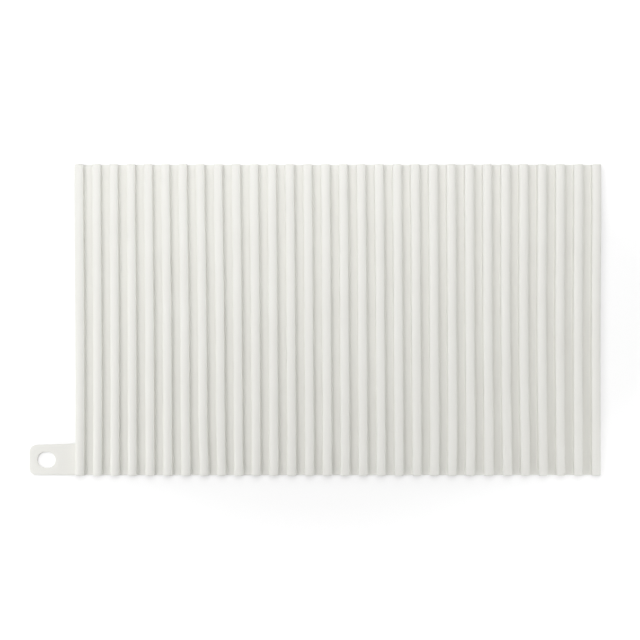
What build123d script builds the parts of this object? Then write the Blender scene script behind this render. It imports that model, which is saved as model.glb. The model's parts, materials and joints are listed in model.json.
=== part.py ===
"""Silicone dish drying mat with a hang tab.

The mat is a thin corrugated sheet of silicone rubber. Thirty hollow ribs run from its back edge to
its front edge, and flat webs at table level join them, so water drains along the valleys between
the ribs and air passes under them. A rounded tab with an oval hole reaches out from the left edge,
flush with the front edge, so that the mat can hang from a hook.

The rubber bends in the webs, halfway between two ribs, where it lets the mat roll up, and at the
root of the tab. Each rib is therefore a strip of its own, from the middle of one web to the middle
of the next, and each strip's long edges are rounded, so that it can turn about the line where it
meets its neighbour.

The frame stands at the middle of the footprint, tab included, on the table. X runs across the ribs
to the right, Y runs along them to the back, and Z is up. All sizes are in millimetres.
"""

import os
from math import atan, atan2, cos, pi, tan

from build123d import *

# The ribs and the sheet that they are formed in
RIB_COUNT = 30
RIB_PITCH = 15.0  # from the middle of one rib to the middle of the next
RIB_LENGTH = 262.0  # along Y
RIB_FOOT_WIDTH = 7.8  # where the outside of a rib's walls meets the valley floor
WALL_DRAFT = 0.2  # how far in a wall has come at the shoulder
MAT_HEIGHT = 7.5  # from the table to the crest of a rib
SHEET_THICKNESS = 1.6  # of the webs, the walls and the crests alike
CROWN_FALL = 1.1  # of the arched crest, from its middle to its shoulders
SHOULDER_RADIUS = 0.5  # along both sides of a crest
CHANNEL_RADIUS = 1.2  # along both sides of the hollow under a crest
VALLEY_RADIUS = 0.8  # between a wall and the valley floor
EDGE_RADIUS = 0.4  # along the foot of the mat's left and right edges
FLEX_GAP = 0.3  # between two pieces, at the line where the rubber bends

# The hang tab
TAB_REACH = 39.1  # from the mat's left edge to the tab's free end
TAB_ROOT_WIDTH = 26.6
TAB_END_WIDTH = 25.2
TAB_THICKNESS = 2.0
TAB_CORNER_RADIUS = 6.0
TAB_RIM_RADIUS = 0.4  # along the rims of the tab's free sides and of its hole
HOLE_LENGTH = 15.2  # along X
HOLE_WIDTH = 13.4  # along Y
HOLE_FROM_END = 14.5  # from the tab's free end to the middle of the hole
HOLE_FROM_FRONT = 12.8  # from the mat's front edge to the middle of the hole

# What follows from those sizes: the heights, the lean of a wall and the arch of a crest
CHANNEL_HEIGHT = MAT_HEIGHT - SHEET_THICKNESS
SHOULDER_HEIGHT = MAT_HEIGHT - CROWN_FALL
HALF_FOOT = RIB_FOOT_WIDTH / 2
HALF_CREST = HALF_FOOT - WALL_DRAFT
LEAN = atan2(WALL_DRAFT, SHOULDER_HEIGHT - SHEET_THICKNESS)
WALL_ACROSS = SHEET_THICKNESS / cos(LEAN)  # a wall's thickness, measured along X
CROWN_SLOPE = 2 * atan(CROWN_FALL / HALF_CREST)  # of the arch where it meets a shoulder
CROWN_ARC_SHARE = 0.8  # of each crest is arched, and the rest is straight, for the shoulder's rounding
CROWN_CORNER = HALF_CREST / (1 + cos(CROWN_SLOPE))  # where its straight sides would meet its level middle
CROWN_RADIUS = CROWN_ARC_SHARE * CROWN_CORNER / tan(CROWN_SLOPE / 2)

# Places across the ribs: from the middle of a rib, and then in the frame
HALF_BASE = HALF_FOOT + SHEET_THICKNESS * tan(LEAN)  # the outside of a wall, carried down to the table
HALF_MOUTH = HALF_BASE - WALL_ACROSS
MOUTH_RADIUS = VALLEY_RADIUS + SHEET_THICKNESS  # so the sheet keeps its thickness in the bend
HALF_CHANNEL_TOP = HALF_MOUTH - CHANNEL_HEIGHT * tan(LEAN)
WEB_NOSE = SHEET_THICKNESS / 2  # radius of the rounded edge of a web
WEB_END = (RIB_PITCH - FLEX_GAP) / 2 - WEB_NOSE  # the middle of that rounding
MAT_WIDTH = (RIB_COUNT - 1) * RIB_PITCH + 2 * HALF_BASE
MAT_LEFT = (TAB_REACH - MAT_WIDTH) / 2
FIRST_RIB_X = MAT_LEFT + HALF_BASE

# Places of the tab
FRONT_Y = -RIB_LENGTH / 2
TAB_NOSE = TAB_THICKNESS / 2  # radius of its rounded root
TAB_ROOT_X = MAT_LEFT - FLEX_GAP - TAB_NOSE  # the middle of that rounding, where the tab bends
TAB_END_X = MAT_LEFT - TAB_REACH


def half_outline(has_web):
    """The right half of a strip's section, from its channel's top to its crest: X, Z and corner radius."""
    channel_top = [(HALF_CHANNEL_TOP, CHANNEL_HEIGHT, CHANNEL_RADIUS)]
    crest = [(HALF_CREST, SHOULDER_HEIGHT, SHOULDER_RADIUS), (CROWN_CORNER, MAT_HEIGHT, CROWN_RADIUS)]
    if has_web:
        web_edge = [(WEB_END, 0, 0), (WEB_END, SHEET_THICKNESS, 0)]
        valley = (HALF_FOOT, SHEET_THICKNESS, VALLEY_RADIUS)
        return [*channel_top, (HALF_MOUTH, 0, MOUTH_RADIUS), *web_edge, valley, *crest]
    return [*channel_top, (HALF_MOUTH, 0, EDGE_RADIUS), (HALF_BASE, 0, EDGE_RADIUS), *crest]


def strip_section(left_web, right_web):
    """A strip's section about the middle of its rib, with a web or the mat's bare edge on each side."""
    left = [(-x, z, radius) for x, z, radius in half_outline(left_web)]
    corners = half_outline(right_web) + left[::-1]
    points = [(x, z) for x, z, radius in corners]
    section = make_face(FilletPolyline(*points, radius=[radius for x, z, radius in corners], close=True))
    for side, web in ((-1, left_web), (1, right_web)):
        if web:
            section += Pos(side * WEB_END, WEB_NOSE) * Circle(WEB_NOSE)
    return section


def strip(left_web, right_web):
    """One strip of the mat about X = 0, from the mat's back edge to its front edge."""
    back_edge = Plane.XZ.offset(-RIB_LENGTH / 2)
    return extrude(back_edge * strip_section(left_web, right_web), RIB_LENGTH)


def hang_tab():
    """The tab: a tapering plate with rounded corners, a rounded root to bend about and an oval hole."""
    root = [(TAB_ROOT_X, FRONT_Y), (TAB_ROOT_X, FRONT_Y + TAB_ROOT_WIDTH)]
    end = [(TAB_END_X, FRONT_Y + TAB_END_WIDTH), (TAB_END_X, FRONT_Y)]
    radii = [0, 0, TAB_CORNER_RADIUS, TAB_CORNER_RADIUS]
    plate = make_face(FilletPolyline(*root, *end, radius=radii, close=True))
    hole = SlotOverall(HOLE_LENGTH, HOLE_WIDTH)
    plate -= Pos(TAB_END_X + HOLE_FROM_END, FRONT_Y + HOLE_FROM_FRONT) * hole
    body = extrude(plate, TAB_THICKNESS)
    rims = body.edges().filter_by(Plane.XY) - body.edges().filter_by(Axis.Y).group_by(Axis.X)[-1]
    body = fillet(rims, TAB_RIM_RADIUS)
    nose = Plane.XZ.offset(-FRONT_Y - TAB_ROOT_WIDTH) * Pos(TAB_ROOT_X, TAB_NOSE) * Circle(TAB_NOSE)
    return body + extrude(nose, TAB_ROOT_WIDTH)


os.makedirs("parts", exist_ok=True)

for number in range(1, RIB_COUNT + 1):
    rib = strip(left_web=number > 1, right_web=number < RIB_COUNT)
    rib = Pos(FIRST_RIB_X + (number - 1) * RIB_PITCH) * rib
    export_step(rib, f"parts/rib_{number:02d}.step")

export_step(hang_tab(), "parts/hang_tab.step")

print(f"Mat {MAT_WIDTH:.2f} by {RIB_LENGTH:.2f}, wall lean {LEAN * 180 / pi:.1f} degrees")
print(f"Channel half width {HALF_MOUTH:.2f} at the table, {HALF_CHANNEL_TOP:.2f} at its top")
print(f"Tab bends at X {TAB_ROOT_X:.3f}, first rib at X {FIRST_RIB_X:.3f}")
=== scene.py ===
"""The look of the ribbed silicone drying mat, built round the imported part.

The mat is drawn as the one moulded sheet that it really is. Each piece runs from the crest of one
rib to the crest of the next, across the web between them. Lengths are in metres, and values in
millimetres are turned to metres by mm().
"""

import json
import math

import bpy
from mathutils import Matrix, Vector

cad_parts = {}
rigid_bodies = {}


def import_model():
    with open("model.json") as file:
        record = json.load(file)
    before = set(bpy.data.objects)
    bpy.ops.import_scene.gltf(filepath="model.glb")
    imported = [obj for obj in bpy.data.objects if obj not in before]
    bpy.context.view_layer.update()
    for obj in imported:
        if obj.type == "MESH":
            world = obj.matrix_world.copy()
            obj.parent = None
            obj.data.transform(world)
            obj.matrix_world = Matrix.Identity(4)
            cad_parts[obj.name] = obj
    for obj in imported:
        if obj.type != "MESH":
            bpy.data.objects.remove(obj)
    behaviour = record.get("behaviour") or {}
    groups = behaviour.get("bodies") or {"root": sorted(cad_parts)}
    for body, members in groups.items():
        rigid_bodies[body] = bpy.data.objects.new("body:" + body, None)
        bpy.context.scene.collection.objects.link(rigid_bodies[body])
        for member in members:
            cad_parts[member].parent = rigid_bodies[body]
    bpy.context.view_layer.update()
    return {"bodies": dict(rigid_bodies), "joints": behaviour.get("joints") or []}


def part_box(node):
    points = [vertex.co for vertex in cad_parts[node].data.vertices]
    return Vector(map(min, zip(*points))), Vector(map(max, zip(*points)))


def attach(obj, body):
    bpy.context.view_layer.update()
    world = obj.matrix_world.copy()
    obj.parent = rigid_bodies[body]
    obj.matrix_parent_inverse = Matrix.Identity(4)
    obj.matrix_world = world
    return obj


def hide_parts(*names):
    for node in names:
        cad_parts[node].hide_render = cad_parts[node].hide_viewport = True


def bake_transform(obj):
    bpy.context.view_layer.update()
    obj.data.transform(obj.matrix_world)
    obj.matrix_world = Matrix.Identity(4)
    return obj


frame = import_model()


def mm(length):
    """Millimetres as metres."""
    return length / 1000


hinges = {joint["name"]: joint for joint in frame["joints"]}
rib_names = sorted(name for name in frame["bodies"] if name.startswith("rib_"))

# Sizes of the sheet that the frame gives
RIB_COUNT = len(rib_names)
FIRST_WEB_X = hinges["web_01_bend"]["pos_m"][0]
PITCH = hinges["web_02_bend"]["pos_m"][0] - FIRST_WEB_X
HALF_SHEET = hinges["web_01_bend"]["pos_m"][2]  # half of the sheet's thickness, where each web bends
FIRST_RIB_X = FIRST_WEB_X - PITCH / 2
LAST_RIB_X = FIRST_RIB_X + (RIB_COUNT - 1) * PITCH
MAT_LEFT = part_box(rib_names[0])[0].x
MAT_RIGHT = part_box(rib_names[-1])[1].x
MAT_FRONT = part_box(rib_names[0])[0].y
MAT_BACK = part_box(rib_names[0])[1].y
MAT_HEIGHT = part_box(rib_names[0])[1].z

# Sizes of a rib's section
FOOT_WIDTH = mm(7.8)  # where the walls meet the valley floor
CREST_WIDTH = mm(7.4)  # where they meet the shoulders, before rounding
CROWN_START = mm(2.0)  # from the middle of a crest to where its sides would begin, were it not arched
CROWN_FALL = mm(1.1)  # from there to its shoulders
CROWN_RADIUS = mm(5.4)
SHOULDER_RADIUS = mm(0.5)
CHANNEL_RADIUS = mm(1.2)  # along the top of the hollow under a rib
VALLEY_RADIUS = mm(0.8)  # between a wall and the valley floor
END_ROUNDING = mm(0.65)  # where the sheet ends, along the mat's front and back edges

# What follows for the two faces of the sheet
SHEET_THICKNESS = 2 * HALF_SHEET
LEAN = math.atan2((FOOT_WIDTH - CREST_WIDTH) / 2, MAT_HEIGHT - CROWN_FALL - SHEET_THICKNESS)
HALF_BASE = FOOT_WIDTH / 2 + SHEET_THICKNESS * math.tan(LEAN)
HALF_MOUTH = HALF_BASE - SHEET_THICKNESS / math.cos(LEAN)
CHANNEL_HEIGHT = MAT_HEIGHT - SHEET_THICKNESS
MOUTH_RADIUS = VALLEY_RADIUS + SHEET_THICKNESS
RIB_OUTSIDE = [  # corners from the middle of the crest to the valley floor
    (0, MAT_HEIGHT),
    (CROWN_START, MAT_HEIGHT),
    (CREST_WIDTH / 2, MAT_HEIGHT - CROWN_FALL),
    (FOOT_WIDTH / 2, SHEET_THICKNESS),
]
RIB_INSIDE = [  # and from the top of the channel to its mouth
    (0, CHANNEL_HEIGHT),
    (HALF_MOUTH - CHANNEL_HEIGHT * math.tan(LEAN), CHANNEL_HEIGHT),
    (HALF_MOUTH, 0),
]

# Sizes of the hang tab
TAB_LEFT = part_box("hang_tab")[0].x
TAB_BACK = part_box("hang_tab")[1].y
TAB_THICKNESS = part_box("hang_tab")[1].z
TAB_END_WIDTH = mm(25.2)
TAB_CORNER_RADIUS = mm(6.0)
TAB_RIM = mm(0.5)  # width of the rounding along its rims
HOLE_LENGTH = mm(15.2)
HOLE_WIDTH = mm(13.4)
HOLE_FROM_END = mm(14.5)  # from the tab's free end to the middle of the hole
HOLE_FROM_FRONT = mm(12.8)
TAB_BEND_X = hinges["tab_flex"]["pos_m"][0]
NECK_LENGTH = mm(5.0)  # from the rubber round the hole to where the tab bends

# What follows for the tab
HOLE_CENTRE = Vector((TAB_LEFT + HOLE_FROM_END, MAT_FRONT + HOLE_FROM_FRONT))
NECK_X = TAB_BEND_X - NECK_LENGTH
TAB_ROOT_X = FIRST_RIB_X - (HALF_BASE + HALF_MOUTH) / 2  # inside the first rib's wall
TAB_TAPER = (TAB_BACK - MAT_FRONT - TAB_END_WIDTH) / (TAB_ROOT_X - TAB_LEFT)

# The silicone's colour and finish
DULL_RUBBER = "E3E2DD"
CLEAN_RUBBER = "E7E7E2"
DRIFT_WIDTH = mm(45)  # of the patches in which the colour drifts
POLISH_WIDTH = mm(6)  # of the patches in which the polish changes
LEAST_ROUGH = 0.50
MOST_ROUGH = 0.62
GRAIN_WIDTH = mm(0.5)
GRAIN_DEPTH = mm(0.04)
GRAIN_STRENGTH = 0.25
SILICONE_IOR = 1.41

# The table and the air round it
FLOOR_REACH = 3.0  # from its middle to each side
FLOOR_GAP = mm(0.2)  # under the mat, so that the two have no face in common
FLOOR_COLOUR = "D3D3D3"
FLOOR_LIFT = 0.37  # the share of white that the camera is shown on top of the floor's own light
FADE_START = 0.155  # from the middle, to the front or back, to where the floor starts to fade into white
FADE_END = 0.45  # and to where it is white
SIDE_SHARE = 0.55  # the share of its distance that a place to the side counts with
AIR_LIGHT = 0.02  # the strength with which the air lights the mat
WHITE = "FFFFFF"

# The camera, straight above
CAMERA_X = mm(4.3)
CAMERA_Y = mm(-0.1)
CAMERA_HEIGHT = mm(1300)
CAMERA_LENS = 86.5  # its focal length, which Blender takes in millimetres

# How finely the rubber is drawn, in steps
ARC_STEPS = 6  # round each corner of a rib's section
WEB_STEPS = 8  # across a web
LENGTH_STEPS = 26  # along the ribs
END_STEPS = 4  # round each quarter turn of the sheet's front and back ends
EDGE_STEPS = 8  # round its bare left and right edges
TAB_SIDE_STEPS = [6, 5, 6]  # along the tab's front side, its end and its back side
HOLE_RINGS = 3  # from the tab's outline to its hole
NECK_ROWS = 8  # across the tab
NECK_COLUMNS = 12  # along its neck
RIM_STEPS = 3  # round its rims
SHARP_ANGLE = math.radians(40)  # a turn of less than this is part of a curve, and is shaded smooth

# How the two faces bend, as radii and steps; the inner one turns one corner where the outer turns two
OUTSIDE_BENDS = [(CROWN_RADIUS, ARC_STEPS), (SHOULDER_RADIUS, ARC_STEPS), (VALLEY_RADIUS, ARC_STEPS)]
INSIDE_BENDS = [(CHANNEL_RADIUS, 2 * ARC_STEPS + 1), (MOUTH_RADIUS, ARC_STEPS)]

# Soft bends that the rubber has taken, set after the lines of the ribs in the photograph:
# middle and reach across the ribs, middle and reach along them, all as shares of the mat's half sizes
# from its middle, and the sideways shift
SOFT_BENDS = [
    (0.00, 0.75, 0.00, 4.00, mm(-2.6)),
    (-0.55, 0.30, 1.00, 0.80, mm(-1.7)),
    (0.10, 0.70, 1.00, 0.40, mm(-0.7)),
    (0.70, 0.25, 0.20, 0.80, mm(-0.6)),
    (-0.95, 0.10, -0.40, 0.90, mm(0.8)),
    (0.15, 0.60, -1.00, 1.00, mm(1.0)),
    (-0.50, 0.10, -1.05, 0.25, mm(1.2)),
    (0.45, 0.10, -1.05, 0.20, mm(-0.9)),
    (0.70, 0.12, -1.00, 0.40, mm(0.8)),
    (1.00, 0.30, 0.80, 0.60, mm(0.8)),
]


def sway(x, y):
    """How far the rubber at this place lies to the right of where a stiff mat's would."""
    half_width = (MAT_RIGHT - MAT_LEFT) / 2
    half_length = (MAT_BACK - MAT_FRONT) / 2
    across = (x - (MAT_RIGHT + MAT_LEFT) / 2) / half_width
    along = (y - (MAT_BACK + MAT_FRONT) / 2) / half_length
    shift = 0
    for mid_across, reach_across, mid_along, reach_along, most in SOFT_BENDS:
        away = ((across - mid_across) / reach_across) ** 2 + ((along - mid_along) / reach_along) ** 2
        shift += most * math.exp(-away)
    return shift


def straight_run(start, end, steps):
    """Points along a straight line, both of its ends included."""
    return [start.lerp(end, part / steps) for part in range(steps + 1)]


def rounded_path(corners, bends, run_steps):
    """Points along a flat path whose inner corners are rounded.

    bends gives the radius and the number of steps for each inner corner, and run_steps the number of
    steps for each straight run.
    """
    points = []
    run_start = Vector(corners[0])
    for place, (radius, arc_steps) in enumerate(bends):
        corner = Vector(corners[place + 1])
        come = (corner - Vector(corners[place])).normalized()
        go = (Vector(corners[place + 2]) - corner).normalized()
        turn = math.atan2(come.x * go.y - come.y * go.x, come.dot(go))
        cut = radius * math.tan(abs(turn) / 2)
        run_end = corner - come * cut
        points += straight_run(run_start, run_end, run_steps[place])
        across = Vector((-come.y, come.x)) * math.copysign(radius, turn)
        for part in range(1, arc_steps):
            angle = turn * part / arc_steps
            turned = Vector((
                across.x * math.cos(angle) - across.y * math.sin(angle),
                across.x * math.sin(angle) + across.y * math.cos(angle),
            ))
            points.append(run_end + across - turned)
        run_start = corner + go * cut
    return points + straight_run(run_start, Vector(corners[-1]), run_steps[-1])


def fold_faces(web_x):
    """The sheet's outer and inner face, from one rib's crest over the web at web_x to the next."""
    faces = []
    for corners, bends in ((RIB_OUTSIDE, OUTSIDE_BENDS), (RIB_INSIDE, INSIDE_BENDS)):
        left = [(web_x - PITCH / 2 + x, z) for x, z in corners]
        right = [(web_x + PITCH / 2 - x, z) for x, z in corners[::-1]]
        beside = [1] * len(bends)
        faces.append(rounded_path(left + right, bends + bends[::-1], [*beside, WEB_STEPS, *beside]))
    return faces


def edge_faces(rib_x, side):
    """The faces over the outer half of an outer rib, left to right; side is -1 for the left rib.

    Its bare wall ends half the sheet's thickness above the table, where its rounded edge begins.
    """
    faces = []
    for corners, bends, base in (
        (RIB_OUTSIDE, OUTSIDE_BENDS, HALF_BASE),
        (RIB_INSIDE, INSIDE_BENDS, HALF_MOUTH),
    ):
        wall_end = (base - HALF_SHEET * math.tan(LEAN), HALF_SHEET)
        way = [(rib_x + side * x, z) for x, z in [*corners[:-1], wall_end]]
        faces.append(rounded_path(way[::side], bends[:-1][::side], [1] * len(bends)))
    return faces


def stations():
    """Places along the ribs, front to back, each with the share of the sheet's thickness there.

    The share falls off towards the front and back ends, where the sheet is rounded.
    """
    rounding = []
    for part in range(END_STEPS + 1):
        angle = math.pi / 2 * part / END_STEPS
        inset = END_ROUNDING * (1 - math.sin(angle))
        share = 1 - END_ROUNDING * (1 - math.cos(angle)) / HALF_SHEET
        rounding.append((inset, share))
    front = [(MAT_FRONT + inset, share) for inset, share in rounding[::-1]]
    back = [(MAT_BACK - inset, share) for inset, share in rounding]
    first, last = front[-1][0], back[0][0]
    between = [(first + (last - first) * part / LENGTH_STEPS, 1) for part in range(1, LENGTH_STEPS)]
    return front + between + back


def bare_edge(near, far):
    """Points round the sheet's bare edge, from the end of one face to the end of the other."""
    middle = (near + far) / 2
    reach = near - middle
    outward = Vector((reach.y, -reach.x))
    angles = [math.pi * part / EDGE_STEPS for part in range(1, EDGE_STEPS)]
    return [middle + reach * math.cos(a) + outward * math.sin(a) for a in angles]


def front_end(count, size, bare_side):
    """The faces that close the front end of a stretch of the sheet, by their places in its first ring.

    They are four-sided between the sheet's two faces, which have count points each, and one more
    covers the rounding of a bare edge. size is the number of points in the ring.
    """
    opposite = size - 1 if bare_side >= 0 else 2 * count - 1
    faces = [(opposite - place, opposite - place - 1, place + 1, place) for place in range(count - 1)]
    if bare_side:
        begin, end = (count - 1, opposite - count + 1) if bare_side > 0 else (opposite, size)
        faces.append(tuple(corner % size for corner in range(end, begin - 1, -1)))
    return faces


def finished_object(name, vertices, faces):
    """An object of smooth rubber, with its angular edges kept sharp."""
    mesh = bpy.data.meshes.new(name)
    mesh.from_pydata(vertices, [], faces)
    mesh.validate()
    mesh.shade_smooth()
    mesh.set_sharp_from_angle(angle=SHARP_ANGLE)
    piece = bpy.data.objects.new(name, mesh)
    bpy.context.collection.objects.link(piece)
    return piece


def sheet_piece(name, outer, inner, bare_side=0):
    """A closed stretch of the sheet between its two faces, carried along the ribs.

    bare_side is -1 or 1 where the faces' first or last ends are the mat's bare edge.
    """
    vertices, faces = [], []
    for y, share in stations():
        keep = (1 + share) / 2
        above = [low.lerp(high, keep) for high, low in zip(outer, inner)]
        below = [high.lerp(low, keep) for high, low in zip(outer, inner)]
        ring = list(above)
        if bare_side > 0:
            ring += bare_edge(above[-1], below[-1])
        ring += below[::-1]
        if bare_side < 0:
            ring += bare_edge(below[0], above[0])
        vertices += [(p.x + sway(p.x, y), y, p.y) for p in ring]
    size = len(ring)
    last_ring = len(vertices) - size
    for start in range(0, last_ring, size):
        for place in range(size):
            after = (place + 1) % size
            faces.append((start + place, start + after, start + size + after, start + size + place))
    for front in front_end(len(outer), size, bare_side):
        faces.append(front)
        faces.append(tuple(last_ring + corner for corner in front[::-1]))
    return finished_object(name, vertices, faces)


# The sheet: the outer halves of the first and last ribs, and a fold for every web between two ribs
sheet_pieces = [sheet_piece("left_edge", *edge_faces(FIRST_RIB_X, -1), bare_side=-1)]
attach(sheet_pieces[0], rib_names[0])
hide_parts(rib_names[0])

for number, (left_rib, right_rib) in enumerate(zip(rib_names, rib_names[1:]), start=1):
    web_x = FIRST_WEB_X + (number - 1) * PITCH
    fold = sheet_piece(f"fold_{number:02d}", *fold_faces(web_x))
    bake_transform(fold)
    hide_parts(right_rib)
    sheet_pieces.append(fold)

sheet_pieces.append(sheet_piece("right_edge", *edge_faces(LAST_RIB_X, 1), bare_side=1))
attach(sheet_pieces[-1], rib_names[-1])
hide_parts(rib_names[-1])


def oval_point(direction):
    """The point of the oval hole's rim that lies this way from the hole's middle."""
    radius = HOLE_WIDTH / 2
    straight = HOLE_LENGTH / 2 - radius
    way = direction.normalized()
    across = radius / abs(way.y) if way.y else math.inf
    if abs(way.x) * across <= straight:
        return HOLE_CENTRE + way * across
    centre = Vector((math.copysign(straight, way.x), 0))
    along = way.dot(centre)
    reach = along + math.sqrt(along**2 - centre.length_squared + radius**2)
    return HOLE_CENTRE + way * reach


def tab_back_at(x):
    """How far back the tab's tapering back side lies at this place along the tab."""
    return MAT_FRONT + TAB_END_WIDTH + TAB_TAPER * (x - TAB_LEFT)


def flat_tab():
    """The tab's points and faces before it has a thickness: rings round its hole, and then its neck."""
    corners = [
        (NECK_X, MAT_FRONT),
        (TAB_LEFT, MAT_FRONT),
        (TAB_LEFT, MAT_FRONT + TAB_END_WIDTH),
        (NECK_X, tab_back_at(NECK_X)),
    ]
    side = rounded_path(corners, [(TAB_CORNER_RADIUS, 2 * ARC_STEPS)] * 2, TAB_SIDE_STEPS)
    outline = side + straight_run(side[-1], side[0], NECK_ROWS)[1:-1]
    size = len(outline)
    points, faces = [], []
    for ring in range(HOLE_RINGS + 1):
        inward = ring / HOLE_RINGS
        points += [point.lerp(oval_point(point - HOLE_CENTRE), inward) for point in outline]
    for start in range(0, HOLE_RINGS * size, size):
        for place in range(size):
            after = (place + 1) % size
            faces.append((start + after, start + place, start + size + place, start + size + after))
    rows = [[(len(side) - 1 + place) % size for place in range(NECK_ROWS + 1)]]
    for column in range(1, NECK_COLUMNS + 1):
        x = NECK_X + (TAB_ROOT_X - NECK_X) * column / NECK_COLUMNS
        rows.append(list(range(len(points), len(points) + NECK_ROWS + 1)))
        points += straight_run(Vector((x, tab_back_at(x))), Vector((x, MAT_FRONT)), NECK_ROWS)
    for near, far in zip(rows, rows[1:]):
        for place in range(NECK_ROWS):
            faces.append((near[place], near[place + 1], far[place + 1], far[place]))
    return points, faces


def tab_piece():
    """The hang tab with its thickness and rounded rims, from its free end into the first rib's wall."""
    points, faces = flat_tab()
    piece = finished_object("hang_tab_rubber", [(p.x, p.y, 0) for p in points], faces)
    thicken = piece.modifiers.new("moulded thickness", "SOLIDIFY")
    thicken.thickness = TAB_THICKNESS
    thicken.offset = 1
    soften = piece.modifiers.new("rounded rims", "BEVEL")
    soften.width = TAB_RIM
    soften.segments = RIM_STEPS
    soften.angle_limit = SHARP_ANGLE
    depsgraph = bpy.context.evaluated_depsgraph_get()
    finished = bpy.data.meshes.new_from_object(piece.evaluated_get(depsgraph))
    piece.modifiers.clear()
    piece.data = finished
    return piece


# The hang tab, moulded onto the foot of the first rib
hang_tab = tab_piece()
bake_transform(hang_tab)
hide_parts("hang_tab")


def hex_colour(code):
    """A linear colour with full alpha, from an sRGB hex value."""
    channels = [int(code[place:place + 2], 16) / 255 for place in (0, 2, 4)]
    return [c / 12.92 if c <= 0.04045 else ((c + 0.055) / 1.055) ** 2.4 for c in channels] + [1]


def add_node(owner, kind, values=None, links=None, **settings):
    """A node of a material or world, with its settings, its values, and links from other outputs."""
    node = owner.node_tree.nodes.new(kind)
    for name, value in settings.items():
        setattr(node, name, value)
    for name, value in (values or {}).items():
        node.inputs[name].default_value = value
    for name, output in (links or {}).items():
        owner.node_tree.links.new(output, node.inputs[name])
    return node


def moulded_silicone():
    """Silicone rubber, compression moulded in a tool with a fine spark-eroded finish.

    It is matt and off-white, and a soft sheen shows only where light grazes it. The moulding grain is
    0.1 mm wide on the real one, which is too fine to show, so it is drawn at 0.5 mm. The rubber is a
    little unevenly dense, and takes up fine dust, so its colour drifts slightly over some centimetres.
    """
    material = bpy.data.materials.new("moulded_silicone")
    material.use_nodes = True
    shader = material.node_tree.nodes["Principled BSDF"]
    shader.inputs["IOR"].default_value = SILICONE_IOR
    place = add_node(material, "ShaderNodeTexCoord").outputs["Object"]
    drift = add_node(
        material, "ShaderNodeTexNoise", {"Scale": 1 / DRIFT_WIDTH, "Detail": 2.0}, {"Vector": place}
    )
    colour = add_node(
        material, "ShaderNodeMix", {"A": hex_colour(DULL_RUBBER), "B": hex_colour(CLEAN_RUBBER)},
        {"Factor": drift.outputs["Fac"]}, data_type="RGBA",
    )
    polish = add_node(
        material, "ShaderNodeTexNoise", {"Scale": 1 / POLISH_WIDTH, "Detail": 3.0}, {"Vector": place}
    )
    rough = add_node(
        material, "ShaderNodeMapRange", {"To Min": LEAST_ROUGH, "To Max": MOST_ROUGH},
        {"Value": polish.outputs["Fac"]},
    )
    grain = add_node(
        material, "ShaderNodeTexNoise", {"Scale": 1 / GRAIN_WIDTH, "Detail": 2.0}, {"Vector": place}
    )
    bump = add_node(
        material, "ShaderNodeBump", {"Strength": GRAIN_STRENGTH, "Distance": GRAIN_DEPTH},
        {"Height": grain.outputs["Fac"]},
    )
    for socket, output in (
        ("Base Color", colour.outputs[2]),
        ("Roughness", rough.outputs["Result"]),
        ("Normal", bump.outputs["Normal"]),
    ):
        material.node_tree.links.new(output, shader.inputs[socket])
    return material


silicone = moulded_silicone()
for piece in sheet_pieces + [hang_tab]:
    piece.data.materials.clear()
    piece.data.materials.append(silicone)


def shown_rays(owner):
    """1 on the rays that show something to the camera, straight, mirrored or through glass, else 0."""
    rays = add_node(owner, "ShaderNodeLightPath").outputs
    shown = rays["Is Camera Ray"]
    for kind in ("Is Glossy Ray", "Is Transmission Ray"):
        either = add_node(owner, "ShaderNodeMath", links={0: shown, 1: rays[kind]}, operation="MAXIMUM")
        shown = either.outputs[0]
    return shown


def painted_table_top():
    """A pale, matt paint that takes the mat's shadow and fades into the white air round the table."""
    material = bpy.data.materials.new("painted_table_top")
    material.use_nodes = True
    nodes = material.node_tree.nodes
    nodes.remove(nodes["Principled BSDF"])
    matt = add_node(material, "ShaderNodeBsdfDiffuse", {"Color": hex_colour(FLOOR_COLOUR)})
    place = add_node(material, "ShaderNodeTexCoord").outputs["Object"]
    narrowed = add_node(
        material, "ShaderNodeVectorMath", {1: (SIDE_SHARE, 1, 1)}, {0: place}, operation="MULTIPLY"
    )
    away = add_node(material, "ShaderNodeVectorMath", links={0: narrowed.outputs[0]}, operation="LENGTH")
    whiteness = add_node(
        material, "ShaderNodeMapRange",
        {"From Min": FADE_START, "From Max": FADE_END, "To Min": FLOOR_LIFT, "To Max": 1.0},
        {"Value": away.outputs["Value"]},
    )
    lift = add_node(
        material, "ShaderNodeMath", links={0: whiteness.outputs["Result"], 1: shown_rays(material)},
        operation="MULTIPLY",
    )
    glow = add_node(
        material, "ShaderNodeEmission", {"Color": hex_colour(WHITE)}, {"Strength": lift.outputs[0]}
    )
    both = add_node(material, "ShaderNodeAddShader", links={0: matt.outputs[0], 1: glow.outputs[0]})
    material.node_tree.links.new(both.outputs[0], nodes["Material Output"].inputs["Surface"])
    return material


floor_mesh = bpy.data.meshes.new("floor")
floor_corners = [
    (-FLOOR_REACH, -FLOOR_REACH, -FLOOR_GAP),
    (FLOOR_REACH, -FLOOR_REACH, -FLOOR_GAP),
    (FLOOR_REACH, FLOOR_REACH, -FLOOR_GAP),
    (-FLOOR_REACH, FLOOR_REACH, -FLOOR_GAP),
]
floor_mesh.from_pydata(floor_corners, [], [(0, 1, 2, 3)])
floor = bpy.data.objects.new("floor", floor_mesh)
bpy.context.collection.objects.link(floor)
floor.data.materials.append(painted_table_top())


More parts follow.
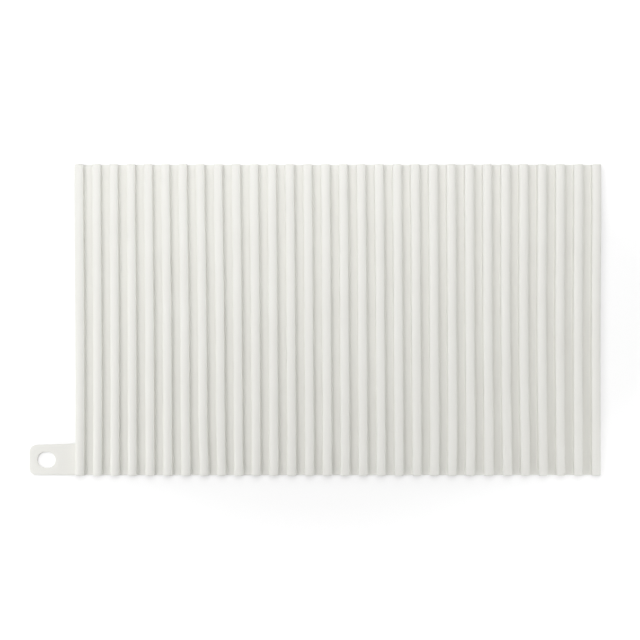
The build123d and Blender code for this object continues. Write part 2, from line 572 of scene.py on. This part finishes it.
def soft_lamp(name, place, aim, size, power):
    """A plain white soft box that faces a point of the mat, and that no camera sees.

    size is its width and height, and power is in watts.
    """
    light = bpy.data.lights.new(name, "AREA")
    light.shape = "RECTANGLE"
    light.size, light.size_y = size
    light.energy = power
    lamp = bpy.data.objects.new(name, light)
    lamp.location = place
    lamp.rotation_euler = (Vector(aim) - Vector(place)).to_track_quat("-Z", "Y").to_euler()
    lamp.visible_camera = False
    bpy.context.collection.objects.link(lamp)


# The light, most of which comes from above, from behind and from the left, as in the photograph
soft_lamp("over_lamp", place=(0.0, 0.35, 0.9), aim=(0, 0, 0), size=(1.1, 0.6), power=4.7)
soft_lamp("back_lamp", place=(0.0, 0.45, 0.35), aim=(0, 0.1, 0), size=(1.2, 0.3), power=1.8)
soft_lamp("front_lamp", place=(0.0, -0.6, 0.25), aim=(0, 0, 0), size=(1.2, 0.2), power=0.2)
soft_lamp("left_lamp", place=(-0.7, 0.0, 1.0), aim=(0, 0, 0), size=(0.8, 0.6), power=3.8)
soft_lamp("left_front_lamp", place=(-0.5, -0.3, 0.35), aim=(-0.1, -0.1, 0), size=(0.5, 0.3), power=0.35)
soft_lamp("low_left_lamp", place=(-0.7, -0.35, 0.15), aim=(-0.1, -0.1, 0), size=(0.6, 0.15), power=1.9)
soft_lamp("right_lamp", place=(0.9, 0.0, 0.6), aim=(0, 0, 0), size=(0.8, 0.5), power=0.65)
soft_lamp("low_right_lamp", place=(0.45, -0.35, 0.2), aim=(0.15, -0.1, 0), size=(0.4, 0.2), power=0.8)

# The air, which is shown white and lights the mat only a little
air = bpy.data.worlds.new("studio_air")
bpy.context.scene.world = air
air.use_nodes = True
air_strength = add_node(air, "ShaderNodeMath", {1: AIR_LIGHT}, {0: shown_rays(air)}, operation="MAXIMUM")
background = air.node_tree.nodes["Background"]
background.inputs["Color"].default_value = hex_colour(WHITE)
air.node_tree.links.new(air_strength.outputs[0], background.inputs["Strength"])

bpy.context.scene.view_settings.view_transform = "Standard"

# The camera looks straight down, as the one that took the photograph did
camera_data = bpy.data.cameras.new("camera")
camera_data.lens = CAMERA_LENS
camera = bpy.data.objects.new("camera", camera_data)
camera.location = (CAMERA_X, CAMERA_Y, CAMERA_HEIGHT)
bpy.context.collection.objects.link(camera)
bpy.context.scene.camera = camera
